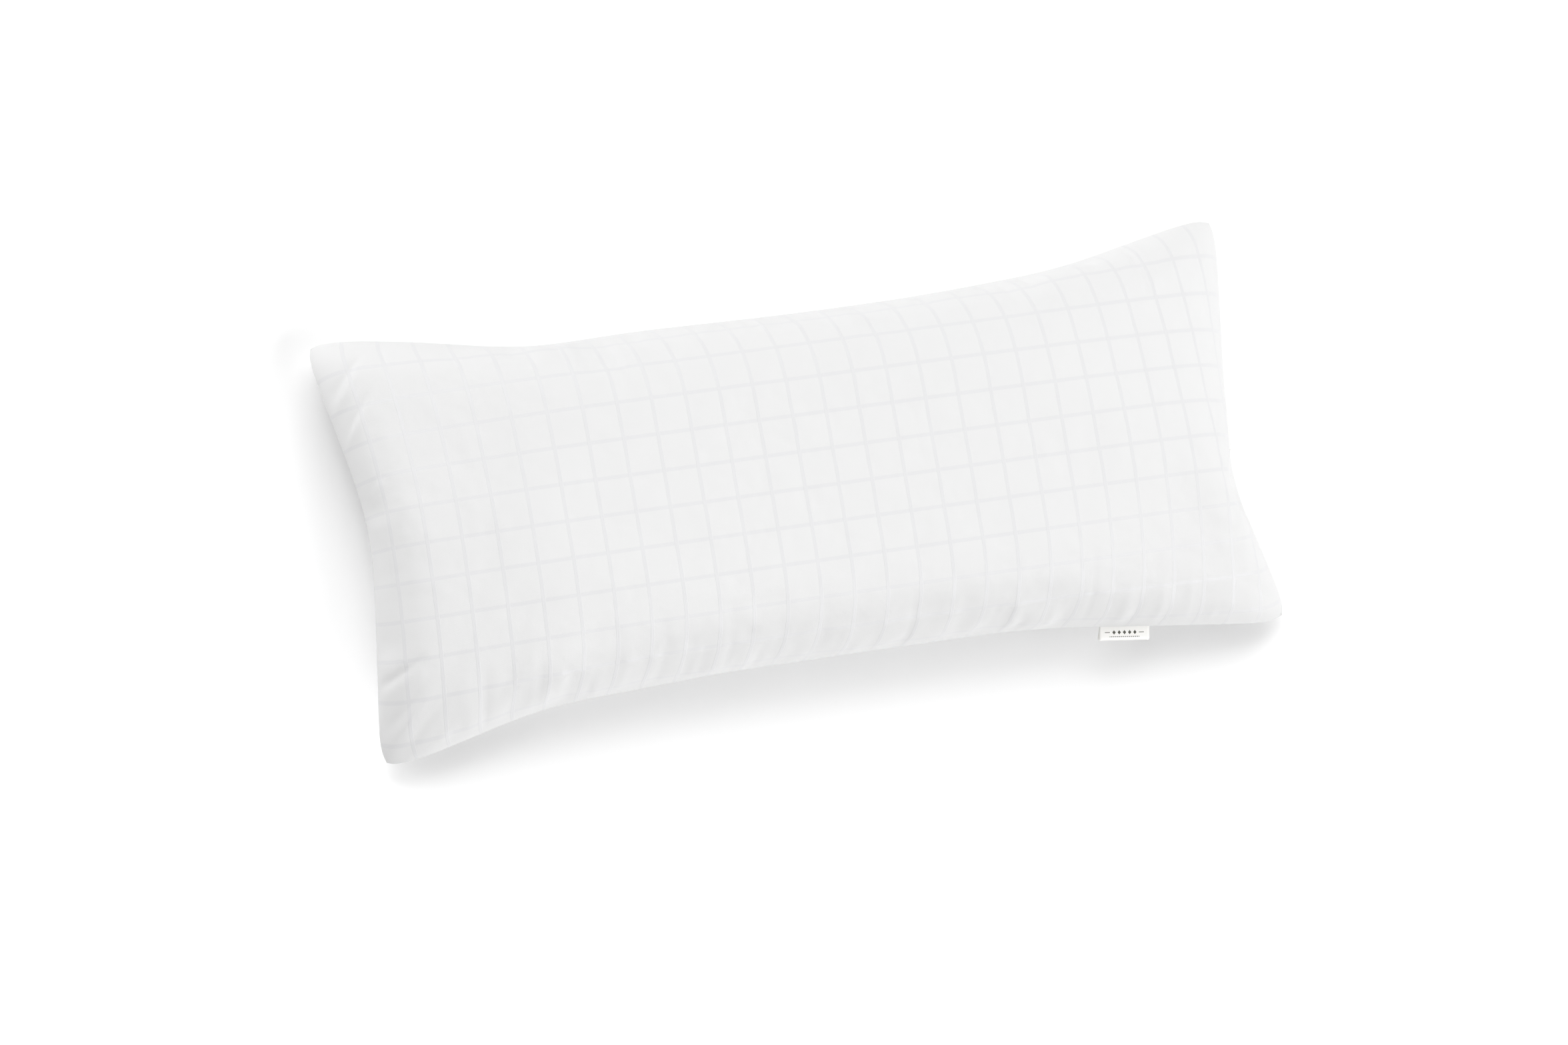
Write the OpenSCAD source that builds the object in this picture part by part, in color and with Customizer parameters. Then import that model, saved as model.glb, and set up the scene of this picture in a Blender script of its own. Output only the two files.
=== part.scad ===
// A long bed pillow, lying flat on its back panel.
// The origin is under the middle of the pillow, on the surface that it lies on.
// X runs along the pillow, Y across it, and Z is its thickness.

/* [Filled pillow] */
// Length of the filled pillow, from corner to corner
filled_length = 884; // [800:1:1050]
// Width of the filled pillow, from corner to corner
filled_width = 356; // [320:1:420]
// Height of the crown above the surface that the pillow lies on
thickness = 130; // [110:1:170]
// Height of the seam between the two panels
seam_height = 54; // [46:1:60]
// How far each end pulls in halfway between its corners
end_pull = 25; // [5:1:40]
// How far each long side pulls in halfway between its corners
side_pull = 24; // [5:1:40]
// How far the rounding takes back the sharp tip of each corner
ear_round = 9; // [2:1:14]

/* [Cover] */
// Thickness of the woven cotton cover
cover_cloth = 0.5; // [0.3:0.05:0.6]
// Half the thickness of the turned edge at the seam
edge_half = 1; // [0.9:0.05:1.4]
// Width of the seam allowance, which is turned inwards
seam_allowance = 10; // [7:0.5:11]
// How far the row of seam stitches lies inside the edge
stitch_inset = 3; // [2.5:0.1:4]
// Width of the overlocking on the allowance's raw edge
overlock_width = 3.5; // [2:0.1:3.5]
// Diameter of the sewing thread
thread = 0.3; // [0.2:0.05:0.35]

/* [Lining and filling] */
// Thickness of the lining bag
lining_cloth = 0.4; // [0.3:0.05:0.6]
// How far the lining's edge stays inside the cover's edge
lining_inset = 12.5; // [12:0.5:15]
// Thickness of the wadding that wraps the loose fibre
wadding = 12; // [8:1:15]
// Air gap between one layer and the next
layer_gap = 0.4; // [0.3:0.1:0.6]

/* [Closing seam] */
// Where the closed opening's middle lies along the long side
closing_x = -232; // [-260:1:-180]
// Length of the opening that was sewn up last
closing_length = 180; // [120:1:200]
// Length of one closing stitch
closing_stitch = 2.4; // [2:0.1:2.5]
// Distance from one closing stitch to the next
closing_pitch = 3.2; // [3:0.1:4]

/* [Labels] */
// Where the maker's label's middle lies along the long side
brand_x = 272; // [200:1:300]
// Width of the maker's label
brand_width = 50; // [30:1:55]
// How far the maker's label stands out of the seam
brand_reach = 12.5; // [8:0.5:18]
// Width of the care label
care_width = 40; // [25:1:45]
// How far the care label hangs down behind the end seam
care_reach = 30; // [20:1:32]
// Thickness of one ply of label tape
label_ply = 0.25; // [0.15:0.05:0.25]
// Half the height of the loop that a folded label makes
label_loop = 1.6; // [1:0.1:2]

/* [Hidden] */

half_length = filled_length / 2 + 0.55 * ear_round; // to the sharp tips, before they are rounded
half_width = filled_width / 2 + 0.75 * ear_round;
front_rise = thickness - seam_height - edge_half;   // crown of the front panel above its edge
back_rise = 1.12 * seam_height;                     // more than the seam's height, so the back lies flat
cells_long = 36;                                    // mesh cells along the pillow
cells_wide = 16;                                    // mesh cells across it
label_parting = label_ply + 0.06;                   // the plies part this far for a label's tails
parting_reach = 34;                                 // and do so this far past each side of a label
label_tail = 7;                                     // length of a label's tails inside the seam
label_steps = 28;                                   // points along a label's profile

// Insets and rises of the layers, from the cover inwards.
cover_inner_rise = front_rise - cover_cloth;
lining_rise = cover_inner_rise - layer_gap;
wadding_inset = lining_inset + lining_cloth + layer_gap;
wadding_rise = lining_rise - lining_cloth - layer_gap;
fill_inset = wadding_inset + wadding + layer_gap;
fill_rise = wadding_rise - wadding - layer_gap;
lining_floor = cover_cloth + layer_gap;
wadding_floor = lining_floor + lining_cloth + layer_gap;
fill_floor = wadding_floor + wadding + layer_gap;
inner_edge = 0.5;                                   // half the thickness of an inner layer's edge

// ---- Shape of the pillow -------------------------------------------------

// Mesh lines crowd together towards the edges, where the panels curve most.
function line_at(i, count) = sin(180 * i / count - 90);

// The outline is a rectangle whose sides pull in between slim rounded corners.
function place_x(u, v) = u * (half_length - end_pull * (1 - v * v) - ear_round * pow(abs(v), 24));
function place_y(u, v) = v * (half_width - side_pull * (1 - pow(abs(u), 3.5)) - ear_round * pow(abs(u), 24));

// The crown is 1 over most of the middle and 0 at the seam.
function crown(u, v) = pow(max(0, 1 - pow(abs(u), 3.2)), 0.62) * pow(max(0, 1 - pow(abs(v), 2.2)), 0.62);

// The plies part a little where a label's tails lie between them.
function parting(x, y) =
    (y < 0 && abs(x - brand_x) < brand_width / 2 + parting_reach) ||
    (x > 0 && abs(y) < care_width / 2 + parting_reach && abs(x) > half_length - 2 * end_pull - 5)
        ? label_parting : 0;

function inset_xy(u, v, inset) =
    [place_x(u, v) * (1 - inset / half_length), place_y(u, v) * (1 - inset / half_width)];

// One side of a layer: side is 1 for the front and -1 for the back.
function on_side(u, v, inset, edge, rise, side, floor_z) =
    let (xy = inset_xy(u, v, inset), z = seam_height + side * (edge + rise * crown(u, v)))
    [xy[0], xy[1], max(floor_z, z)];

function side_grid(inset, edge, rise, side, floor_z) =
    [for (j = [0 : cells_wide], i = [0 : cells_long])
        on_side(line_at(i, cells_long), line_at(j, cells_wide), inset, edge, rise, side, floor_z)];

// The boundary of the mesh, walked once round from the first corner.
boundary = concat(
    [for (i = [0 : cells_long - 1]) [i, 0]],
    [for (j = [0 : cells_wide - 1]) [cells_long, j]],
    [for (i = [cells_long : -1 : 1]) [i, cells_wide]],
    [for (j = [cells_wide : -1 : 1]) [0, j]]);
boundary_count = len(boundary);

function outline(inset) =
    [for (b = boundary) inset_xy(line_at(b[0], cells_long), line_at(b[1], cells_wide), inset)];

function ring_at(inset, z, side, parted) =
    [for (p = outline(inset)) [p[0], p[1], z + side * (parted ? parting(p[0], p[1]) : 0)]];

// ---- Faces ---------------------------------------------------------------

row = cells_long + 1;
grid_count = row * (cells_wide + 1);

function flip(faces, turned) = turned ? [for (f = faces) [f[2], f[1], f[0]]] : faces;

function grid_faces(start) =
    [for (j = [0 : cells_wide - 1], i = [0 : cells_long - 1], half = [0, 1])
        let (a = start + j * row + i)
        half == 0 ? [a, a + row, a + row + 1] : [a, a + row + 1, a + 1]];

function boundary_points(start) = [for (b = boundary) start + b[1] * row + b[0]];
function ring_points(start) = [for (k = [0 : boundary_count - 1]) start + k];

// A band of triangles between two loops of points that match one to one.
function band(from, to) =
    [for (k = [0 : boundary_count - 1], half = [0, 1])
        let (next = (k + 1) % boundary_count)
        half == 0 ? [from[k], to[next], to[k]] : [from[k], from[next], to[next]]];

// ---- Building blocks -----------------------------------------------------

// A panel of the cover: its outer and inner faces, and the seam allowance turned in along the seam.
module cover_panel(side) {
    rise = side > 0 ? front_rise : back_rise;
    allowance_edge = edge_half - cover_cloth;
    outer = side_grid(0, edge_half, rise, side, 0);
    inner = side_grid(cover_cloth + edge_half / 2, allowance_edge, rise - cover_cloth, side, cover_cloth);
    lower_edge = ring_at(0, seam_height, side, true);
    lower_allowance = ring_at(seam_allowance, seam_height, side, true);
    upper_allowance = ring_at(seam_allowance, seam_height + side * allowance_edge, side, false);
    edge_start = 2 * grid_count;
    lower_start = edge_start + boundary_count;
    upper_start = lower_start + boundary_count;
    faces = concat(
        grid_faces(0),
        flip(grid_faces(grid_count), true),
        band(boundary_points(0), ring_points(edge_start)),
        band(ring_points(edge_start), ring_points(lower_start)),
        band(ring_points(lower_start), ring_points(upper_start)),
        band(ring_points(upper_start), boundary_points(grid_count)));
    polyhedron(points = concat(outer, inner, lower_edge, lower_allowance, upper_allowance),
               faces = flip(faces, side < 0));
}

// A layer of even thickness inside the cover.
module inner_layer(side, inset, rise, floor_z, depth) {
    outer = side_grid(inset, inner_edge, rise, side, floor_z);
    inner = side_grid(inset + depth, 0, rise + inner_edge - depth, side, floor_z + depth);
    faces = concat(
        grid_faces(0),
        flip(grid_faces(grid_count), true),
        band(boundary_points(0), boundary_points(grid_count)));
    polyhedron(points = concat(outer, inner), faces = flip(faces, side < 0));
}

// A flat band that follows the seam, between two insets and two heights from the seam.
module seam_band(outer_inset, inner_inset, low, high) {
    translate([0, 0, seam_height + low])
        linear_extrude(high - low)
            difference() {
                polygon(outline(outer_inset));
                polygon(outline(inner_inset));
            }
}

// A label's centre line: straight out of the seam, round a bend, then straight down.
function label_at(s, bend_radius, bend) =
    let (arc = bend_radius * bend * PI / 180, past = s - arc)
    s < 0 ? [s, 0] :
    s < arc ? [bend_radius * sin(s / bend_radius * 180 / PI), bend_radius * (cos(s / bend_radius * 180 / PI) - 1)] :
    [bend_radius * sin(bend) + past * cos(bend), bend_radius * (cos(bend) - 1) - past * sin(bend)];
function label_turn(s, bend_radius, bend) =
    s < 0 ? 0 : min(bend, s / bend_radius * 180 / PI);

// Half the height of a folded label's loop: shut in the seam, open and round at the fold.
function loop_half(s, reach, ply) =
    let (t = max(0, s) / reach, open = t < 0.75 ? pow(t / 0.75, 1.5) : sqrt(max(0, 1 - pow((t - 0.75) / 0.25, 2))))
    ply + 0.02 + (label_loop - ply) * open * (t < 1 ? 1 : 0);

function label_side(sign, reach, bend_radius, bend, shrink, start) =
    [for (k = [0 : label_steps])
        let (q = 1 - pow(1 - k / label_steps, 1.6),
             s = start + (reach - shrink - start) * q,
             turn = label_turn(s, bend_radius, bend),
             h = max(shrink > 0 ? 0.02 : label_ply, loop_half(s, reach, label_ply) - shrink))
        label_at(s, bend_radius, bend) + sign * h * [sin(turn), cos(turn)]];

function reversed(list) = [for (k = [len(list) - 1 : -1 : 0]) list[k]];

function label_profile(reach, bend_radius, bend, shrink, start) = concat(
    label_side(1, reach, bend_radius, bend, shrink, start),
    reversed(label_side(-1, reach, bend_radius, bend, shrink, start)));

// A label of tape folded in half, with both tails held between the plies of the seam.
module folded_label(width, reach, bend_radius, bend) {
    translate([-width / 2, 0, 0])
        rotate([90, 0, 90])
            linear_extrude(width)
                difference() {
                    polygon(label_profile(reach, bend_radius, bend, 0, -label_tail));
                    polygon(label_profile(reach, bend_radius, bend, label_ply, -label_tail - 1));
                }
}

// ---- The pieces ----------------------------------------------------------

module cover_front_panel() {
    color("white") cover_panel(1);
}

module cover_back_panel() {
    color("whitesmoke") cover_panel(-1);
}

// Needle thread on the upper ply of the allowance, bobbin thread under the lower one.
module cover_seam_thread() {
    ply = edge_half - cover_cloth;
    color("gainsboro") {
        seam_band(stitch_inset, stitch_inset + thread, ply, ply + thread);
        seam_band(stitch_inset, stitch_inset + thread, -ply - thread, -ply);
    }
}

// Overlocking wraps the raw edges of both plies of the allowance.
module cover_overlock_thread() {
    ply = edge_half - cover_cloth;
    inner = seam_allowance - overlock_width;
    color("gainsboro") {
        seam_band(inner, seam_allowance, ply, ply + thread);
        seam_band(seam_allowance, seam_allowance + thread, -ply - thread, ply + thread);
        seam_band(inner, seam_allowance, -ply - thread, -ply);
    }
}

// Short stitches along the edge, where the filling opening was sewn up last.
module closing_seam_thread() {
    count = floor(closing_length / closing_pitch);
    color("gainsboro")
        translate([0, 0, seam_height - thread / 2])
            linear_extrude(thread)
                intersection() {
                    difference() {
                        polygon(outline(-thread));
                        polygon(outline(0));
                    }
                    for (k = [0 : count - 1])
                        translate([closing_x + (k - count / 2) * closing_pitch, -half_width])
                            square([closing_stitch, half_width]);
                }
}

module lining_front() {
    color("ivory") inner_layer(1, lining_inset, lining_rise, 0, lining_cloth);
}

module lining_back() {
    color("ivory") inner_layer(-1, lining_inset, back_rise, lining_floor, lining_cloth);
}

// A row of thread along the lining's edge.
module lining_seam_thread() {
    color("gainsboro") seam_band(lining_inset - thread, lining_inset, -thread / 2, thread / 2);
}

module wadding_top() {
    color("snow") inner_layer(1, wadding_inset, wadding_rise, 0, wadding);
}

module wadding_bottom() {
    color("snow") inner_layer(-1, wadding_inset, back_rise, wadding_floor, wadding);
}

// Loose hollow fibre fills what the wadding leaves.
module fibre_fill() {
    top = side_grid(fill_inset, inner_edge, fill_rise, 1, 0);
    bottom = side_grid(fill_inset, 0, back_rise, -1, fill_floor);
    faces = concat(
        grid_faces(0),
        flip(grid_faces(grid_count), true),
        band(boundary_points(0), boundary_points(grid_count)));
    color("floralwhite") polyhedron(points = concat(top, bottom), faces = faces);
}

// The maker's label stands out of the long front seam.
module brand_label() {
    edge_y = -place_y(brand_x / half_length, 1);
    color("white")
        translate([brand_x, edge_y, seam_height])
            rotate([0, 0, 180])
                folded_label(brand_width, brand_reach, 30, 8);
}

// The care label hangs behind the seam at one end.
module care_label() {
    edge_x = place_x(1, 0);
    color("white")
        translate([edge_x, 0, seam_height])
            rotate([0, 0, -90])
                folded_label(care_width, care_reach, 5, 84);
}

cover_front_panel();
cover_back_panel();
cover_seam_thread();
cover_overlock_thread();
closing_seam_thread();
lining_front();
lining_back();
lining_seam_thread();
wadding_top();
wadding_bottom();
fibre_fill();
brand_label();
care_label();
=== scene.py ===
"""A long bed pillow in a white check cotton cover, lying flat on its back panel."""

import math
import random
from collections import namedtuple

import bmesh
import bpy
from mathutils import Matrix, Vector
from mathutils.kdtree import KDTree


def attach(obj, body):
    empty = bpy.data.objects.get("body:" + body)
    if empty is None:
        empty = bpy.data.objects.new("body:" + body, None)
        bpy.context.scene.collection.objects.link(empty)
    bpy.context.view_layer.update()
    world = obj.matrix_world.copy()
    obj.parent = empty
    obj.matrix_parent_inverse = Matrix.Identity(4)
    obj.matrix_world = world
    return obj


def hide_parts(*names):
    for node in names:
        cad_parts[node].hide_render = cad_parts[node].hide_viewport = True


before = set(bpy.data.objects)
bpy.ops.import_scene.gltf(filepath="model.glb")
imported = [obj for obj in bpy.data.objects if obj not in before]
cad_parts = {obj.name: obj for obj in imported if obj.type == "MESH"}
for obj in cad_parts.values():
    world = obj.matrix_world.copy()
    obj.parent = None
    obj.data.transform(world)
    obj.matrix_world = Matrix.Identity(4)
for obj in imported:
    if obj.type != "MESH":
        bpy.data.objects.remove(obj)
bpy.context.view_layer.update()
scene = bpy.context.scene
MM = 0.001


# ---------------------------------------------------------------------------
# Studio: a white floor that the pillow lies on, a white sky, two broad lights
# from beyond the far long side and the left end, and a low one from the right.
# ---------------------------------------------------------------------------

def linear(hex_colour):
    """The linear colour, with alpha, of an sRGB hex value such as "f4f4f2"."""
    channels = [int(hex_colour[k : k + 2], 16) / 255 for k in (0, 2, 4)]
    return [c / 12.92 if c <= 0.04045 else ((c + 0.055) / 1.055) ** 2.4 for c in channels] + [1.0]


def new_material(name):
    """A node material, its tree and its Principled shader."""
    material = bpy.data.materials.new(name)
    material.use_nodes = True
    return material, material.node_tree, material.node_tree.nodes["Principled BSDF"]


def new_piece(name, bm, material):
    """A smooth-shaded mesh object made from a bmesh, at the origin."""
    mesh = bpy.data.meshes.new(name)
    bm.to_mesh(mesh)
    bm.free()
    mesh.materials.append(material)
    mesh.polygons.foreach_set("use_smooth", [True] * len(mesh.polygons))
    piece = bpy.data.objects.new(name, mesh)
    scene.collection.objects.link(piece)
    return piece


def belongs(piece, slot, *nodes):
    """The piece rides with the pillow and stands for the CAD nodes; slot is not used."""
    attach(piece, "root")
    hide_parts(*nodes)


# Matt white paint: no shine, and light enough that only the shadow shows on it.
floor_size = 12.0
floor_drop = 0.2 * MM                       # keeps the floor just clear of the cloth
floor_material, _, floor_shader = new_material("floor_white_paint")
floor_shader.inputs["Base Color"].default_value = linear("fbfbfb")
floor_shader.inputs["Roughness"].default_value = 0.9
floor_shader.inputs["Specular IOR Level"].default_value = 0.0
bm = bmesh.new()
bmesh.ops.create_grid(bm, x_segments=1, y_segments=1, size=floor_size / 2)
bmesh.ops.translate(bm, vec=(0, 0, -floor_drop), verts=bm.verts)
floor = new_piece("floor", bm, floor_material)

world = bpy.data.worlds.new("studio")
scene.world = world
world.use_nodes = True
world.node_tree.nodes["Background"].inputs["Color"].default_value = linear("ffffff")
world.node_tree.nodes["Background"].inputs["Strength"].default_value = 0.22


def soft_sun(name, azimuth, elevation, strength, spread):
    """A sun with soft shadows. Its azimuth is counted from +X towards +Y, and its elevation upwards."""
    light = bpy.data.lights.new(name, "SUN")
    light.energy = strength
    light.angle = math.radians(spread)
    lamp = bpy.data.objects.new(name, light)
    turned, raised = math.radians(azimuth), math.radians(elevation)
    towards = Vector((math.cos(turned), math.sin(turned), math.tan(raised)))
    lamp.rotation_mode = "QUATERNION"
    lamp.rotation_quaternion = towards.to_track_quat("Z", "Y")
    scene.collection.objects.link(lamp)


soft_sun("key", azimuth=90, elevation=45, strength=1.6, spread=50)
soft_sun("far_left", azimuth=146, elevation=45, strength=1.6, spread=50)
soft_sun("low_right", azimuth=316, elevation=22, strength=2.85, spread=60)

# The camera looks down on the front panel from the left end, a little rolled.
seam_height = 54 * MM
view_from = Vector((-0.402, -0.072, 0.913)).normalized()
view_up = Vector((0.126, 0.983, 0.133))
camera_distance = 8.0
frame_width = 1.387                         # what the picture spans at the pillow, in metres
to_middle = -9 * MM                         # brings the laid bag back to the frame's middle
aim_right, aim_up = -20 * MM, -33.3 * MM    # the picture's middle, from the pillow's
camera_data = bpy.data.cameras.new("camera")
camera_data.sensor_width = 36
camera_data.lens = camera_data.sensor_width * camera_distance / frame_width
camera_data.clip_end = 100
camera = bpy.data.objects.new("camera", camera_data)
scene.collection.objects.link(camera)
camera_right = view_up.cross(view_from).normalized()
camera_up = view_from.cross(camera_right)
aim = Vector((to_middle, 0, seam_height)) + camera_right * aim_right + camera_up * aim_up
axes = Matrix((camera_right, camera_up, view_from)).transposed().to_4x4()
camera.matrix_world = Matrix.Translation(aim + view_from * camera_distance) @ axes
scene.camera = camera
scene.view_settings.view_transform = "Standard"


# ---------------------------------------------------------------------------
# Cover: two panels of white cotton, cut flat, sewn together all round and then
# turned. The cloth is settled as one bag, filled until it is tight and laid
# down, and then parted into its front and back panels along the seam.
# ---------------------------------------------------------------------------

flat_length, flat_width = 900 * MM, 368 * MM
half_long, half_wide = flat_length / 2, flat_width / 2
cells_long, cells_wide = 150, 62            # about 6 mm to a cell
corner_rounding = 7 * MM
first_loft = 20 * MM                        # how far the panels start apart
fill_pressure = 1.8
settle_frames = 40
check_pitch = 32.4 * MM
stripe_width = 3.4 * MM
check_shift = (-15.6 * MM, 7.9 * MM)        # where the check lies on the front panel
back_check_shift = (9 * MM, -6 * MM)


def softened_corner(x, y):
    """A place on the flat bag, with the tip taken off each corner."""
    u, v = abs(x) / half_long, abs(y) / half_wide
    return x * (1 - corner_rounding / half_long * v**20), y * (1 - corner_rounding / half_wide * u**40)


def flat_bag():
    """Both panels, flat on each other and joined all round, with the flat cloth's places as UVs."""
    bm = bmesh.new()
    bmesh.ops.create_grid(bm, x_segments=cells_long, y_segments=cells_wide, size=0.5)
    bmesh.ops.scale(bm, vec=(flat_length, flat_width, 1), verts=bm.verts)
    fabric = bm.loops.layers.uv.new("fabric")
    back = bm.faces.layers.int.new("back")
    along = bm.verts.layers.float.new("along")
    across = bm.verts.layers.float.new("across")
    copied = bmesh.ops.duplicate(bm, geom=bm.verts[:] + bm.edges[:] + bm.faces[:])["geom"]
    back_faces = [g for g in copied if isinstance(g, bmesh.types.BMFace)]
    bmesh.ops.reverse_faces(bm, faces=back_faces)
    for face in back_faces:
        face[back] = 1
    for face in bm.faces:
        shift = back_check_shift if face[back] else check_shift
        for loop in face.loops:
            loop[fabric].uv = (loop.vert.co.x - shift[0], loop.vert.co.y - shift[1])
    for vert in bm.verts:
        u, v = vert.co.x / half_long, vert.co.y / half_wide
        loft = first_loft * math.sqrt(max(0, 1 - u * u) * max(0, 1 - v * v))
        is_back = vert.link_faces[0][back]
        vert[along], vert[across] = vert.co.x, vert.co.y
        vert.co.x, vert.co.y = softened_corner(vert.co.x, vert.co.y)
        vert.co.z = -loft if is_back else loft
    bmesh.ops.remove_doubles(bm, verts=bm.verts, dist=0.05 * MM)
    return bm


def fill(bag):
    """Fills the bag by cloth simulation, and keeps the shape that it takes."""
    cloth = bag.modifiers.new("cloth", "CLOTH")
    settings = cloth.settings
    settings.quality = 6
    settings.mass = 0.3
    settings.tension_stiffness = 40
    settings.compression_stiffness = 6
    settings.shear_stiffness = 4
    settings.bending_stiffness = 0.05
    settings.tension_damping = 10
    settings.compression_damping = 10
    settings.shear_damping = 5
    settings.bending_damping = 2
    settings.air_damping = 3
    settings.use_pressure = True
    settings.uniform_pressure_force = fill_pressure
    settings.effector_weights.gravity = 0
    cloth.collision_settings.use_collision = False
    cloth.point_cache.frame_end = settle_frames + 5
    scene.frame_start, scene.frame_end = 1, settle_frames
    for number in range(1, settle_frames + 1):
        scene.frame_set(number)
    settled = bag.evaluated_get(bpy.context.evaluated_depsgraph_get()).data
    places = [v.co.copy() for v in settled.vertices]
    bag.modifiers.remove(cloth)
    for vert, place in zip(bag.data.vertices, places):
        vert.co = place
    scene.frame_set(1)


cover_material, tree, shader = new_material("cotton_check_cloth")
bag = new_piece("bag", flat_bag(), cover_material)
fill(bag)

# The filled bag is laid down: its back flattens and tucks in, and its ends and corners are drawn
# into shape.
top_lift = 1.08                             # the back's flattening lifts the front this much
resting_softness = 3 * MM                   # how gently the back rounds up from where it lies
back_tuck = (16 * MM, 10 * MM)              # how far the back tucks in under the ends and the long sides
tuck_depth = 20 * MM                        # and how far below the seam it has mostly done so
end_pull = 9 * MM                           # how much more the ends pull in than the settled cloth does
seam_reach = 40 * MM                        # how far from the seam its smoothing is felt
seam_passes, near_seam_passes = 3, 5        # how often the seam and the cloth beside it are smoothed
seam_span = 7                               # how many neighbours on each side a pass takes in, at most,
kept_corner = 9 * MM                        # with one more for each such step away from a corner
corner_droop = 32 * MM                      # how far the corners hang below the rest of the seam
droop_draw = (14 * MM, 3 * MM)              # how far they lie over to the right and back as they hang
# How far each corner is drawn along and across, by its end (-1 left) and its side (-1 near).
corner_draw = {
    (-1, 1): (-8 * MM, 4 * MM),
    (1, 1): (2 * MM, 15 * MM),
    (-1, -1): (-2 * MM, -19 * MM),
    (1, -1): (5 * MM, -8 * MM),
}


def seam_walk(bm):
    """The vertices of the seam, in order all round."""
    back = bm.faces.layers.int["back"]
    links = {}
    for edge in bm.edges:
        if edge.link_faces[0][back] != edge.link_faces[1][back]:
            for vert in edge.verts:
                links.setdefault(vert, []).append(edge.other_vert(vert))
    first = min(links, key=lambda vert: vert.co.x + vert.co.y)
    walk = [first, max(links[first], key=lambda vert: vert.co.x)]
    while True:
        following = next(vert for vert in links[walk[-1]] if vert != walk[-2])
        if following == first:
            return walk
        walk.append(following)


def average(vectors):
    return sum(vectors, Vector()) / len(vectors)


def evened(vectors, reaches):
    """Each vector of a closed walk, averaged with as many neighbours on both sides as its reach says."""
    count = len(vectors)
    return [
        average([vectors[(k + d) % count] for d in range(-reach, reach + 1)])
        for k, reach in enumerate(reaches)
    ]


def hanging(u, v):
    """How far a place hangs, where u and v are 1 at the bag's ends and long sides and 0 in the middle."""
    return Vector((*droop_draw, -corner_droop)) * abs(u) ** 9 * abs(v) ** 3


def lay_down(bm):
    """Gives the filled bag its shape at rest on the floor."""
    along, across = bm.verts.layers.float["along"], bm.verts.layers.float["across"]
    for vert in bm.verts:
        u, v = vert[along] / half_long, vert[across] / half_wide
        if vert.co.z > 0:
            vert.co.z *= top_lift
        else:
            tucked = 1 - math.exp(vert.co.z / tuck_depth)
            vert.co.x *= 1 - back_tuck[0] * tucked / half_long
            vert.co.y *= 1 - back_tuck[1] * tucked / half_wide
        vert.co.x -= end_pull * u * abs(u) ** 5 * (1 - v * v)
        for (end, side), (draw_x, draw_y) in corner_draw.items():
            share = (max(0, u * end) * max(0, v * side)) ** 3
            vert.co.x += draw_x * share
            vert.co.y += draw_y * share
        vert.co += hanging(u, v)
        vert.co.x += to_middle
    walk = seam_walk(bm)
    reaches = []
    for vert in walk:
        from_corner = math.hypot(half_long - abs(vert[along]), half_wide - abs(vert[across]))
        reaches.append(min(seam_span, int(from_corner / kept_corner)))
    smooth = [vert.co.copy() for vert in walk]
    for _ in range(seam_passes):
        smooth = evened(smooth, reaches)
    near_seam = KDTree(len(walk))
    for k, vert in enumerate(walk):
        near_seam.insert((vert[along], vert[across], 0), k)
    near_seam.balance()
    shifts = [place - vert.co for place, vert in zip(smooth, walk)]
    beside_seam = []
    for vert in bm.verts:
        _, k, distance = near_seam.find((vert[along], vert[across], 0))
        vert.co += shifts[k] * max(0, 1 - distance / seam_reach) ** 2
        if 0 < distance < seam_reach:
            beside_seam.append(vert)
    for _ in range(near_seam_passes):
        bmesh.ops.smooth_vert(
            bm, verts=beside_seam, factor=0.5, use_axis_x=True, use_axis_y=True, use_axis_z=True
        )
    rest_on_floor(bm)


def rest_on_floor(bm):
    """Rests the bag on the floor, flattening what would go below it."""
    for vert in bm.verts:
        height = vert.co.z + seam_height
        vert.co.z = (height + math.hypot(height, resting_softness)) / 2
    lowest = min(vert.co.z for vert in bm.verts)
    bmesh.ops.translate(bm, vec=(0, 0, -lowest), verts=bm.verts)


bm = bmesh.new()
bm.from_mesh(bag.data)
lay_down(bm)
seam_sharpness = 0.6
sharpness = bm.edges.layers.float.new("crease_edge")
back = bm.faces.layers.int["back"]
for edge in bm.edges:
    if edge.link_faces[0][back] != edge.link_faces[1][back]:
        edge[sharpness] = seam_sharpness
bm.to_mesh(bag.data)
bm.free()
laid_bag = bag.data.copy()                  # the inner layers are made from this

# The cover's own mesh is finer, with puckers along its seam and creases in its front panel.
gather_seed = 7
gather_lengths = (28, 95)                   # mm, as are the next two
gather_half_widths = (3.2, 7.5)
long_side_height, end_height = 1.1, 0.35    # how high the highest puckers stand
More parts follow.
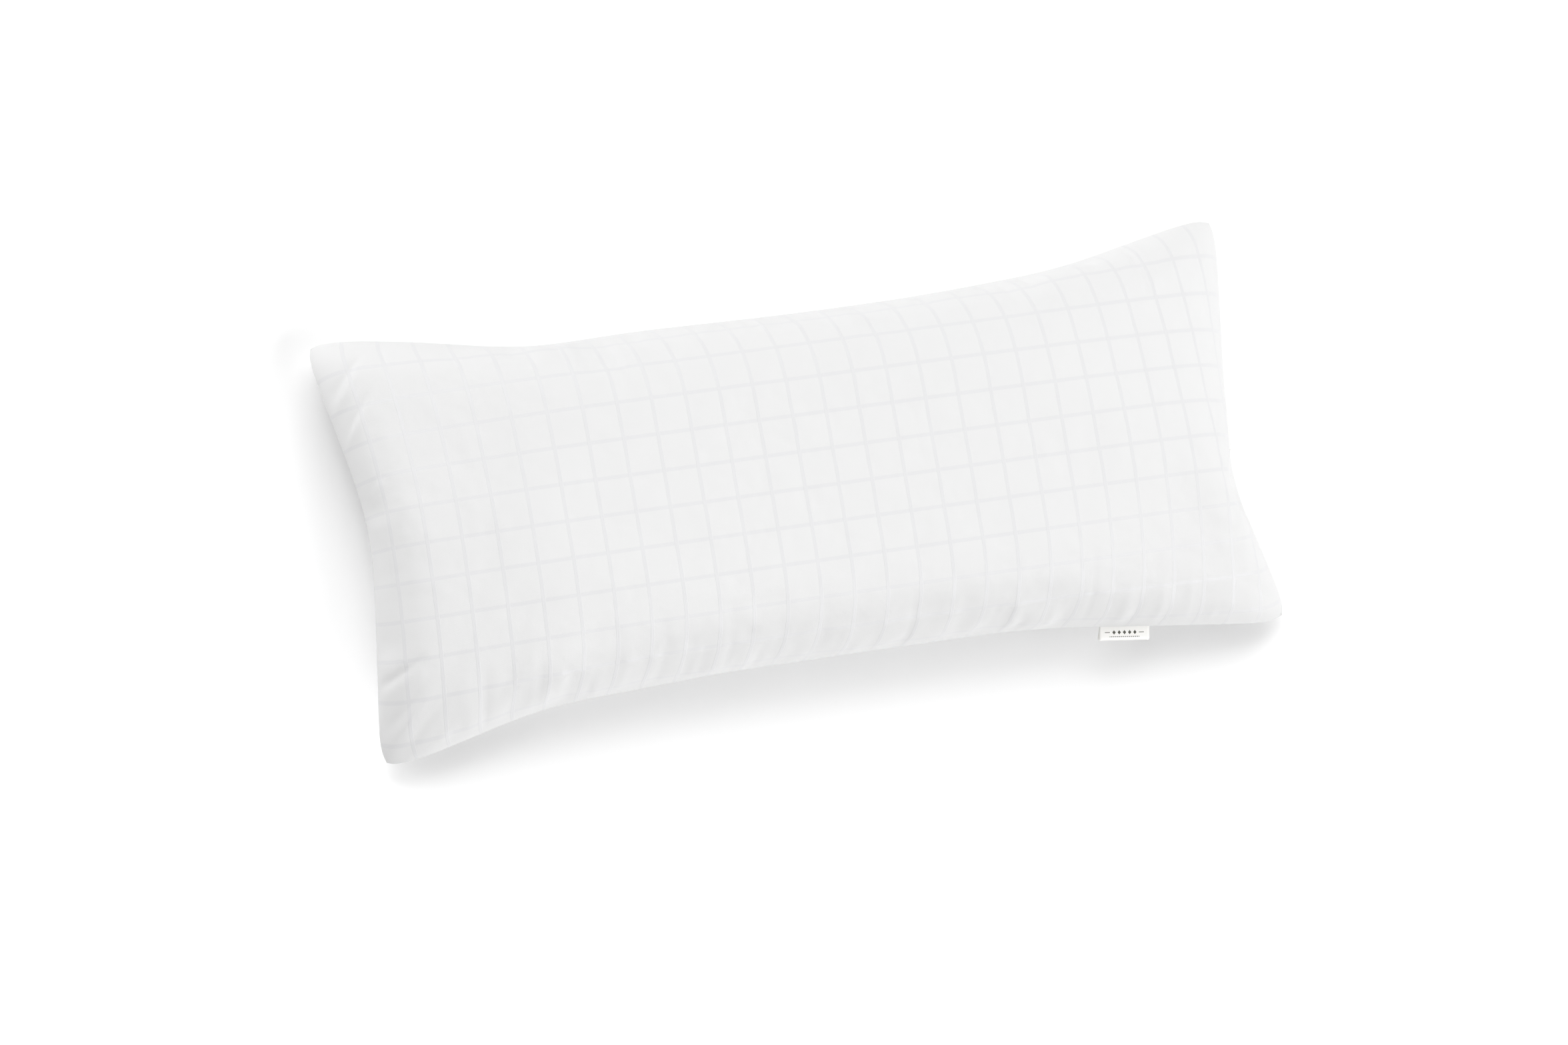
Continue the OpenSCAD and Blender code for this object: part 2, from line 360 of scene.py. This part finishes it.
# Creases in the front panel: two ends on the flat cloth, height and half-width, all in mm.
creases = [
    ((-402, 170), (-444, 132), -1.5, 3.5),
    ((-406, 156), (-448, 116), 1.5, 4.0),
    ((-398, 142), (-444, 96), -1.3, 3.5),
    ((-410, 122), (-448, 86), 1.1, 3.5),
    ((-424, 180), (-424, -178), 0.9, 7.0),
    ((-421, 56), (-398, 64), -0.5, 2.0),
    ((-421, 56), (-402, 46), -0.4, 2.0),
    ((-421, 56), (-420, 72), -0.4, 2.2),
    ((-421, 56), (-438, 46), -0.5, 2.4),
    ((-456, -130), (-404, -104), -1.7, 2.6),
    ((-456, -140), (-406, -116), 1.0, 4.5),
    ((-449, -164), (-404, -126), -1.4, 4.0),
    ((-440, -186), (-390, -144), -1.5, 4.5),
    ((-446, -176), (-400, -134), 1.3, 4.0),
    ((-418, -188), (-370, -156), 1.0, 5.0),
    ((432, 160), (388, 134), -1.0, 6.0),
    ((440, -166), (396, -136), -1.0, 6.0),
    ((432, -178), (372, -158), 0.9, 6.0),
]


def gathers_along(count, half_span, edge, is_end, highest):
    """Small puckers at right angles to a seam, each with its place along it, its seam and its size."""
    made = []
    for number in range(count):
        place = (number + dice.uniform(0.15, 0.85)) / count * 2 - 1
        length = dice.uniform(*gather_lengths) * MM
        half_width = dice.uniform(*gather_half_widths) * MM
        height = dice.choice((-1, 1)) * dice.uniform(0.25, 1.0) * highest * MM
        made.append((place * half_span, edge, length, half_width, height, is_end))
    return made


def gathers_round():
    """The puckers of one panel, along its four sides."""
    return (
        gathers_along(42, 0.88 * half_long, half_wide, False, long_side_height)
        + gathers_along(42, 0.88 * half_long, -half_wide, False, long_side_height)
        + gathers_along(8, 0.8 * half_wide, half_long, True, end_height)
        + gathers_along(8, 0.8 * half_wide, -half_long, True, end_height)
    )


dice = random.Random(gather_seed)
gathers = {is_back: gathers_round() for is_back in (0, 1)}


def bell(distance, half_width):
    return math.exp(-((distance / half_width) ** 2))


def gather_height(x, y, is_back):
    """How far the puckers lift the cloth at a place on the flat panel."""
    total = 0.0
    for place, edge, length, half_width, height, is_end in gathers[is_back]:
        offset, inset = (y - place, abs(x - edge)) if is_end else (x - place, abs(y - edge))
        if abs(offset) < 3 * half_width and inset < length:
            total += height * bell(offset, half_width) * math.sin(math.pi * (inset / length) ** 0.75)
    return total


def crease_height(x, y):
    """How far the sculpted creases lift the front panel at a place on the flat cloth."""
    total = 0.0
    place = Vector((x, y))
    for start, end, height, half_width in creases:
        a, b = Vector(start) * MM, Vector(end) * MM
        way = b - a
        share = (place - a).dot(way) / way.length_squared
        if -0.15 < share < 1.15:
            distance = (place - a - way * share).length
            if distance < 3 * half_width * MM:
                fade = math.sin(math.pi * (share + 0.15) / 1.3)
                total += height * MM * bell(distance, half_width * MM) * fade
    return total


def finer(piece):
    """The piece's mesh with one level of subdivision, as a bmesh."""
    smoother = piece.modifiers.new("finer", "SUBSURF")
    smoother.levels = smoother.render_levels = 1
    mesh = bpy.data.meshes.new_from_object(piece.evaluated_get(bpy.context.evaluated_depsgraph_get()))
    piece.modifiers.remove(smoother)
    bm = bmesh.new()
    bm.from_mesh(mesh)
    bpy.data.meshes.remove(mesh)
    return bm


plain_edge = 7 * MM                         # the puckers and creases start this far in from the seam
seam_roll = 1.5 * MM                        # how much the allowance inside fattens the corners' edges,
roll_start, roll_reach = 2 * MM, 30 * MM    # from where to where, going in from the seam,
corner_reach = 90 * MM                      # and how far from each corner
bm = finer(bag)
bm.normal_update()
back = bm.faces.layers.int["back"]
along, across = bm.verts.layers.float["along"], bm.verts.layers.float["across"]
for vert in bm.verts:
    sides = {face[back] for face in vert.link_faces}
    if len(sides) == 1:
        is_back = sides.pop()
        x, y = vert[along], vert[across]
        inset = min(half_long - abs(x), half_wide - abs(y))
        lift = gather_height(x, y, is_back)
        if not is_back:
            lift += crease_height(x, y)
        lift *= 1 - bell(inset, plain_edge)
        near_corner = bell(math.hypot(half_long - abs(x), half_wide - abs(y)), corner_reach)
        roll = (1 - math.exp(-inset / roll_start)) * math.exp(-inset / roll_reach)
        lift += seam_roll * roll * near_corner
        vert.co += vert.normal * lift
    vert.co.z = max(0, vert.co.z)
bm.normal_update()

# The seam: its places, and the ways into the pillow, to its front and along each panel.
edge_half = 0.2 * MM                        # half the gap between the panels' turned edges
turn = 0.7 * MM                             # how far in the cloth has turned flat
ply_half = 0.1 * MM                         # half the gap between the plies of the allowance
allowance = 10 * MM
corner_share, share_per_mm = 0.05, 0.045    # how much of it the trimming leaves at and near a corner
way_span = 4                                # how many neighbours on each side even out the ways
cover_thickness = 0.45 * MM
SeamPlace = namedtuple("SeamPlace", "place inwards to_front front_way back_way share u v")

seam_number = bm.verts.layers.int.new("seam_number")
walk = seam_walk(bm)
front_ways, back_ways, tangents = [], [], []
for k, vert in enumerate(walk):
    vert[seam_number] = k
    fronts = [face.calc_center_median() for face in vert.link_faces if not face[back]]
    backs = [face.calc_center_median() for face in vert.link_faces if face[back]]
    front_ways.append((average(fronts) - vert.co).normalized())
    back_ways.append((average(backs) - vert.co).normalized())
    tangents.append(walk[(k + 1) % len(walk)].co - walk[k - 1].co)
evened_ways = [evened(ways, [way_span] * len(walk)) for ways in (front_ways, back_ways, tangents)]
seam = []
for vert, front_way, back_way, tangent in zip(walk, *evened_ways):
    tangent.normalize()
    to_front = front_way - back_way
    to_front = (to_front - tangent * to_front.dot(tangent)).normalized()
    inwards = to_front.cross(tangent)
    front_way.normalize()
    back_way.normalize()
    from_corner = math.hypot(half_long - abs(vert[along]), half_wide - abs(vert[across]))
    share = min(1, corner_share + share_per_mm * from_corner / MM)
    u, v = vert[along] / half_long, vert[across] / half_wide
    seam.append(SeamPlace(vert.co.copy(), inwards, to_front, front_way, back_way, share, u, v))


def in_seam(k, inset, height):
    """A place in the seam, that far in from the edge and above the parting of its plies."""
    at = seam[k % len(seam)]
    return at.place + (at.inwards * inset + at.to_front * height) * at.share


def panel(name, is_back):
    """One panel of the cover, with its allowance turned in along the seam."""
    part = bm.copy()
    back, seam_number = part.faces.layers.int["back"], part.verts.layers.int["seam_number"]
    bmesh.ops.delete(part, geom=[f for f in part.faces if f[back] != is_back], context="FACES")
    side = -1 if is_back else 1
    rim = [e for e in part.edges if e.is_boundary]
    for inset, height in ((0, edge_half), (turn, ply_half), (allowance, ply_half)):
        if inset:
            made = bmesh.ops.extrude_edge_only(part, edges=rim)["geom"]
            rim = [g for g in made if isinstance(g, bmesh.types.BMEdge) and g.is_boundary]
        for vert in {v for e in rim for v in e.verts}:
            vert.co = in_seam(vert[seam_number], inset, side * height)
        if not inset:
            for edge in rim:
                edge.smooth = False
    piece = new_piece(name, part, cover_material)
    thickness = piece.modifiers.new("cloth", "SOLIDIFY")
    thickness.thickness = cover_thickness
    thickness.offset = -1
    belongs(piece, "cover_cloth", "cover_" + name)


panel("front_panel", 0)
panel("back_panel", 1)
bpy.data.objects.remove(bag)


# Fine cotton, woven plain, with satin stripes in a windowpane check. The plain ground is matt and a
# little fuzzy. The satin stripes are smoother, so they shine at some angles and look grey at others.
def add(tree, kind, inputs=(), **settings):
    """Adds a shader node with its settings, sets or links its inputs, and gives its first live output."""
    node = tree.nodes.new("ShaderNode" + kind)
    for key, value in settings.items():
        setattr(node, key, value)
    for key, value in inputs.items() if isinstance(inputs, dict) else enumerate(inputs):
        if isinstance(value, bpy.types.NodeSocket):
            tree.links.new(value, node.inputs[key])
        else:
            node.inputs[key].default_value = value
    return next(output for output in node.outputs if output.enabled)


def within(tree, distance, half, blur):
    """1 where a distance is less than half a width, and 0 past it, with a soft edge between."""
    return add(
        tree, "Math", (distance, -1 / blur, 0.5 + half / blur), operation="MULTIPLY_ADD", use_clamp=True
    )


def stripe(tree, place, blur):
    """1 on a stripe of the check and 0 off it, from a place along or across the flat cloth."""
    shifted = add(tree, "Math", (place, check_pitch / 2), operation="ADD")
    distance = add(tree, "Math", (shifted, check_pitch / 2), operation="PINGPONG")
    return within(tree, distance, stripe_width / 2, blur)


weave_pitch = 0.9 * MM                      # real threads are 0.3 mm apart, which is too fine to show
ground_colour, satin_colour = linear("d9d9d9"), linear("d4d4d5")
ground_roughness, satin_roughness = 0.95, 0.52
uv = add(tree, "UVMap", uv_map="fabric")
parted = add(tree, "SeparateXYZ", (uv,)).node
x, y = parted.outputs["X"], parted.outputs["Y"]
fray = add(tree, "TexNoise", {"Vector": uv, "Scale": 900.0, "Detail": 1.0})
fray = add(tree, "Math", (fray, 0.5), operation="SUBTRACT")
frayed_y = add(tree, "Math", (fray, 0.8 * MM, y), operation="MULTIPLY_ADD")
warp_stripe = stripe(tree, x, 0.5 * MM)
weft_stripe = stripe(tree, frayed_y, 0.7 * MM)
satin = add(tree, "Math", (warp_stripe, weft_stripe), operation="MAXIMUM")

# The threads rise and fall in both directions on the ground, and in one direction on the stripes.
turns = 2 * math.pi / weave_pitch
warp = add(tree, "Math", (add(tree, "Math", (x, turns), operation="MULTIPLY"),), operation="SINE")
weft = add(tree, "Math", (add(tree, "Math", (y, turns), operation="MULTIPLY"),), operation="SINE")
plain = add(tree, "Math", (warp, weft), operation="MULTIPLY")
floats = add(tree, "Mix", {0: weft_stripe, 2: warp, 3: weft})
floats = add(tree, "Math", (floats, 0.5), operation="MULTIPLY")
threads = add(tree, "Mix", {0: satin, 2: plain, 3: floats})
slubs = add(tree, "TexNoise", {"Vector": uv, "Scale": 420.0, "Detail": 4.0, "Roughness": 0.65})
stretched = add(tree, "VectorMath", (uv, (60.0, 700.0, 1.0)), operation="MULTIPLY")
streaks = add(tree, "TexNoise", {"Vector": stretched, "Scale": 1.0, "Detail": 2.0})
relief = 0.0
for pattern, height in ((threads, 0.035), (slubs, 0.036), (streaks, 0.0264), (warp_stripe, 0.1)):
    relief = add(tree, "Math", (pattern, height * MM, relief), operation="MULTIPLY_ADD")
bump = add(tree, "Bump", {"Height": relief, "Distance": 1.0, "Strength": 1.0})
colour = add(tree, "Mix", {0: satin, 6: ground_colour, 7: satin_colour}, data_type="RGBA")
roughness = add(
    tree, "Math", (satin, satin_roughness - ground_roughness, ground_roughness), operation="MULTIPLY_ADD"
)
tree.links.new(bump, shader.inputs["Normal"])
tree.links.new(colour, shader.inputs["Base Color"])
tree.links.new(roughness, shader.inputs["Roughness"])
shader.inputs["Sheen Weight"].default_value = 0.12
shader.inputs["Sheen Roughness"].default_value = 0.5


# ---------------------------------------------------------------------------
# Cover's threads: a row of lockstitch 3 mm in from the edge and overlocking on
# the raw edges, both inside the pillow, and slanting stitches over the edge
# where the filling opening was sewn up last.
# ---------------------------------------------------------------------------

stitch_inset = 3 * MM
overlock_width = 3.5 * MM
thread_radius = 0.15 * MM
on_ply = ply_half + cover_thickness + thread_radius     # height of a thread that lies on a ply
closing_from, closing_to = -322 * MM, -142 * MM
closing_pitch = 3.2 * MM
near_side = sorted((at for at in seam if at.inwards.y > 0.8), key=lambda at: at.place.x)
right_end = sorted((at for at in seam if at.inwards.x < -0.8), key=lambda at: at.place.y)


def seam_at(side, axis, position):
    """The seam's place at an x or y position, worked out between its two nearest known places."""
    after = next(k for k, at in enumerate(side) if at.place[axis] > position)
    a, b = side[after - 1], side[after]
    t = (position - a.place[axis]) / (b.place[axis] - a.place[axis])
    return SeamPlace(*(p + (q - p) * t for p, q in zip(a, b)))


def new_thread(name, strands, radius, closed, node):
    """Sewing thread along each list of places."""
    curve = bpy.data.curves.new(name, "CURVE")
    curve.dimensions = "3D"
    curve.bevel_depth = radius
    curve.bevel_resolution = 1
    curve.use_fill_caps = True
    for strand in strands:
        spline = curve.splines.new("POLY")
        spline.points.add(len(strand) - 1)
        spline.points.foreach_set("co", [c for place in strand for c in (*place, 1)])
        spline.use_cyclic_u = closed
    curve.materials.append(thread_material)
    piece = bpy.data.objects.new(name, curve)
    scene.collection.objects.link(piece)
    belongs(piece, "sewing_thread", node)


# Spun polyester thread: off-white, and a little smoother than the cloth.
thread_material, tree, shader = new_material("polyester_thread")
shader.inputs["Base Color"].default_value = linear("ecebe8")
shader.inputs["Roughness"].default_value = 0.5

stitches = {1: [], -1: []}
overlocking = []
for k in range(len(seam)):
    for side in stitches:
        stitches[side].append(in_seam(k, stitch_inset, side * ply_half))
        middle = (in_seam(k, stitch_inset, side * on_ply) + in_seam(k + 1, stitch_inset, side * on_ply)) / 2
        stitches[side].append(middle)
    overlocking.append(in_seam(k, allowance - overlock_width, on_ply))
    overlocking.append(in_seam(k, allowance + 3 * thread_radius, 0))
    overlocking.append(in_seam(k, allowance - overlock_width, -on_ply))
    overlocking.append(in_seam(k, allowance + 3 * thread_radius, 0))
new_thread("seam_stitches", stitches.values(), thread_radius, True, "cover_seam_thread")
new_thread("overlocking", [overlocking], thread_radius, True, "cover_overlock_thread")

# Each closing stitch lies on the front panel, over the edge and on the back panel.
closing_length = 1.8 * MM                   # how far a stitch goes along the edge
closing = []
for number in range(int((closing_to - closing_from) / closing_pitch)):
    x = closing_from + number * closing_pitch
    first, middle, last = (seam_at(near_side, 0, x + part * closing_length) for part in (0, 0.5, 1))
    closing.append([
        first.place + first.front_way * 1.6 * MM + first.inwards * 0.3 * MM,
        first.place + first.front_way * 1.1 * MM - first.inwards * 0.2 * MM,
        middle.place - middle.inwards * 0.25 * MM,
        last.place + last.back_way * 1.1 * MM - last.inwards * 0.2 * MM,
        last.place + last.back_way * 1.6 * MM + last.inwards * 0.3 * MM,
    ])
new_thread("closing_stitches", closing, thread_radius, False, "closing_seam_thread")


# ---------------------------------------------------------------------------
# Inside: a bag of plain lining that holds the filling, sewn along its edge with
# one row of thread, two layers of wadding in it, and loose fibre in the middle.
# ---------------------------------------------------------------------------

front_rise = max(vert.co.z for vert in laid_bag.vertices) - seam_height
lining_inset = 12.5 * MM
lining_depth = 3 * MM                       # leaves room for the puckers of the cover
lining_thickness = 0.4 * MM
layer_gap = 0.5 * MM
wadding_thickness = 12 * MM


def drawn_in(place, u, v, inset, depth):
    """A place on the laid bag, brought in that far from its edge and from its crown, and hanging less."""
    long_share, wide_share = 1 - inset / half_long, 1 - inset / half_wide
    x, y, z = place - hanging(u, v)
    rise = front_rise if z > seam_height else seam_height
    level = seam_height + (z - seam_height) * (1 - depth / rise)
    return Vector((x * long_share, y * wide_share, level)) + hanging(u * long_share, v * wide_share)


def draw_in(part, verts, inset, depth):
    """Brings vertices of a copy of the laid bag in, by the places on the flat cloth that they keep."""
    along, across = part.verts.layers.float["along"], part.verts.layers.float["across"]
    for vert in verts:
        vert.co = drawn_in(vert.co, vert[along] / half_long, vert[across] / half_wide, inset, depth)


def layer(name, is_back, inset, depth, thickness, material):
    """One side of a layer inside the cover, with its outer and inner skins joined at the edge."""
    part = bmesh.new()
    part.from_mesh(laid_bag)
    back = part.faces.layers.int["back"]
    bmesh.ops.delete(part, geom=[f for f in part.faces if f[back] != is_back], context="FACES")
    outer = part.verts[:]
    copied = bmesh.ops.duplicate(part, geom=outer + part.edges[:] + part.faces[:])["geom"]
    inner = [g for g in copied if isinstance(g, bmesh.types.BMVert)]
    bmesh.ops.reverse_faces(part, faces=[g for g in copied if isinstance(g, bmesh.types.BMFace)])
    draw_in(part, outer, inset, depth)
    draw_in(part, inner, inset + thickness, depth + thickness)
    bmesh.ops.bridge_loops(part, edges=[e for e in part.edges if e.is_boundary])
    piece = new_piece(name, part, material)
    return piece


# Plain unbleached cotton: matt, and a little yellower than the cover.
lining_material, tree, shader = new_material("plain_lining")
shader.inputs["Base Color"].default_value = linear("e6e4dd")
shader.inputs["Roughness"].default_value = 0.9
for side, is_back in (("front", 0), ("back", 1)):
    piece = layer(
        "lining_" + side + "_side", is_back, lining_inset, lining_depth, lining_thickness, lining_material
    )
    belongs(piece, "lining_cloth", "lining_" + side)
lining_edge = [drawn_in(at.place, at.u, at.v, lining_inset, 0) for at in seam]
new_thread("lining_stitches", [lining_edge], thread_radius, True, "lining_seam_thread")

# Carded polyester wadding: white and fully matt.
wadding_material, tree, shader = new_material("polyester_wadding")
shader.inputs["Base Color"].default_value = linear("f1f1f0")
shader.inputs["Roughness"].default_value = 1.0
wadding_inset = lining_inset + lining_thickness + layer_gap
wadding_depth = lining_depth + lining_thickness + layer_gap
for side, is_back in (("top", 0), ("bottom", 1)):
    piece = layer(
        "wadding_" + side + "_layer", is_back, wadding_inset, wadding_depth, wadding_thickness,
        wadding_material
    )
    belongs(piece, "wadding", "wadding_" + side)

# Loose hollow polyester fibre: the same, and a little warmer.
fibre_material, tree, shader = new_material("hollow_fibre")
shader.inputs["Base Color"].default_value = linear("f4f4f2")
shader.inputs["Roughness"].default_value = 1.0
fibre_inset = wadding_inset + wadding_thickness + layer_gap
fibre_depth = wadding_depth + wadding_thickness + layer_gap
part = bmesh.new()
part.from_mesh(laid_bag)
draw_in(part, part.verts, fibre_inset, fibre_depth)
fibre = new_piece("loose_fibre", part, fibre_material)
belongs(fibre, "fibre", "fibre_fill")


# ---------------------------------------------------------------------------
# Labels: woven satin tape, folded in half with both tails sewn into the seam.
# The maker's label stands out of the near long seam; the care label hangs down
# behind the seam at the right-hand end.
# ---------------------------------------------------------------------------

label_tail = 7 * MM
label_ply = 0.2 * MM
label_loop = 1.5 * MM                       # half the height of the loop at the fold
label_columns = 24
label_rows = 26


def loop_half(s, reach):
    """Half the height of a folded label's loop: shut in the seam, open and round at the fold."""
    t = max(0, s) / reach
    if t < 0.75:
        opened = (t / 0.75) ** 1.5
    else:
        opened = math.sqrt(max(0, 1 - ((t - 0.75) / 0.25) ** 2))
    return label_ply / 2 + 0.05 * MM + label_loop * opened


def bent(s, bend_radius, bend):
    """How far out and down a label's centre line is, that far along it, and how far it has turned."""
    turned = min(bend, max(0, s) / bend_radius)
    past = s - bend_radius * turned
    out = bend_radius * math.sin(turned) + past * math.cos(turned)
    down = bend_radius * (1 - math.cos(turned)) + past * math.sin(turned)
    return out, down, turned


def folded_label(name, node, side, axis, position, width, reach, bend_radius, bend, material):
    """A folded label that leaves the seam at the position given, and stands for the CAD node."""
    middle = seam_at(side, axis, position)
    outwards, upwards = -middle.inwards, middle.to_front
    part = bmesh.new()
    tape = part.loops.layers.uv.new("tape")
    bmesh.ops.create_grid(part, x_segments=label_columns, y_segments=2 * label_rows, size=0.5)
    tape_places = {}
    for vert in part.verts:
        offset = vert.co.x * width
        from_fold = abs(vert.co.y) * 2      # 0 at the fold and 1 at the tails' ends
        face = -1 if vert.co.y > 0.1 / label_rows else 1
        s = (reach + label_tail) * (1 - from_fold**1.8) - label_tail    # closer rows at the fold
        out, down, turned = bent(s, bend_radius, bend)
        lift = face * loop_half(s, reach)
        out += lift * math.sin(turned)
        up = lift * math.cos(turned) - down
        vert.co = seam_at(side, axis, position + offset).place + outwards * out + upwards * up
        tape_places[vert] = (offset, s if face > 0 else 2 * reach - s)
    for face in part.faces:
        for loop in face.loops:
            loop[tape].uv = tape_places[loop.vert]
    bmesh.ops.recalc_face_normals(part, faces=part.faces)
    piece = new_piece(name, part, material)
    thickness = piece.modifiers.new("tape", "SOLIDIFY")
    thickness.thickness = label_ply
    thickness.offset = 0
    belongs(piece, "label_tape", node)


tape_colour = linear("f0efec")
print_blur = 0.12 * MM
rib_pitch = 0.5 * MM


def bar(tree, place, middle, half):
    """1 on the tape within half a width of the middle, and 0 outside."""
    off = add(tree, "Math", (place, middle), operation="SUBTRACT")
    off = add(tree, "Math", (off,), operation="ABSOLUTE")
    return within(tree, off, half, print_blur)


# Woven polyester satin tape: white, with a soft shine and fine ribs across it.
def tape_material(name):
    """The tape's material, its tree and shader, and the place along and across the flat tape."""
    material, tree, shader = new_material(name)
    parted = add(tree, "SeparateXYZ", (add(tree, "UVMap", uv_map="tape"),)).node
    x, y = parted.outputs["X"], parted.outputs["Y"]
    ribs = add(tree, "Math", (y, 2 * math.pi / rib_pitch), operation="MULTIPLY")
    ribs = add(tree, "Math", (ribs,), operation="SINE")
    ribs = add(tree, "Math", (ribs, 0.02 * MM), operation="MULTIPLY")
    bump = add(tree, "Bump", {"Height": ribs, "Distance": 1.0})
    tree.links.new(bump, shader.inputs["Normal"])
    shader.inputs["Roughness"].default_value = 0.38
    return material, tree, shader, x, y


# A generic motif: a row of five diamonds with a bar at each side, over a line of small dashes.
brand_width, brand_reach = 50 * MM, 12.5 * MM
motif_line, dash_line = 5.2 * MM, 9 * MM    # how far from the seam they are
diamond_pitch, diamond_half = 5.2 * MM, 1.7 * MM
brand_material, tree, shader, x, y = tape_material("woven_label")
sideways = add(tree, "Math", (x, diamond_pitch / 2), operation="PINGPONG")
upwards = add(tree, "Math", (y, motif_line), operation="SUBTRACT")
upwards = add(tree, "Math", (upwards,), operation="ABSOLUTE")
from_middle = add(tree, "Math", (upwards, 0.9, sideways), operation="MULTIPLY_ADD")
diamonds = within(tree, from_middle, diamond_half, print_blur)
five = bar(tree, x, 0.0, 2.5 * diamond_pitch)
diamonds = add(tree, "Math", (diamonds, five), operation="MULTIPLY")
beside = bar(tree, add(tree, "Math", (x,), operation="ABSOLUTE"), 17 * MM, 2.5 * MM)
bars = add(tree, "Math", (beside, bar(tree, y, motif_line, 0.3 * MM)), operation="MULTIPLY")
dashes = add(tree, "Math", (x, 1 * MM), operation="PINGPONG")
dashes = add(tree, "Math", (dashes, 0.32 * MM), operation="GREATER_THAN")
dashes = add(tree, "Math", (dashes, bar(tree, y, dash_line, 0.35 * MM)), operation="MULTIPLY")
dashes = add(tree, "Math", (dashes, bar(tree, x, 0.0, 15 * MM)), operation="MULTIPLY")
woven = add(tree, "Math", (diamonds, bars), operation="MAXIMUM")
woven = add(tree, "Math", (woven, dashes), operation="MAXIMUM")
colour = add(tree, "Mix", {0: woven, 6: tape_colour, 7: linear("4b4a40")}, data_type="RGBA")
tree.links.new(colour, shader.inputs["Base Color"])
folded_label(
    "maker_label", "brand_label", near_side, 0, 275 * MM, brand_width, brand_reach,
    30 * MM, math.radians(10), brand_material
)

# Rows of grey dashes stand for the care text.
care_width, care_reach = 40 * MM, 30 * MM
line_pitch = 3 * MM
care_material, tree, shader, x, y = tape_material("care_tape")
lines = add(tree, "Math", (y, line_pitch / 2), operation="PINGPONG")
lines = add(tree, "Math", (lines, 0.36 * line_pitch), operation="GREATER_THAN")
words = add(tree, "TexNoise", {"Vector": add(tree, "CombineXYZ", (x, y)), "Scale": 700.0})
words = add(tree, "Math", (words, 0.48), operation="GREATER_THAN")
lines = add(tree, "Math", (lines, words), operation="MULTIPLY")
lines = add(tree, "Math", (lines, bar(tree, x, 0.0, 16 * MM)), operation="MULTIPLY")
lines = add(tree, "Math", (lines, bar(tree, y, 15 * MM, 11 * MM)), operation="MULTIPLY")
colour = add(tree, "Mix", {0: lines, 6: tape_colour, 7: linear("8a8a88")}, data_type="RGBA")
tree.links.new(colour, shader.inputs["Base Color"])
folded_label(
    "care_label_tape", "care_label", right_end, 1, 0.0, care_width, care_reach,
    5 * MM, math.radians(84), care_material
)
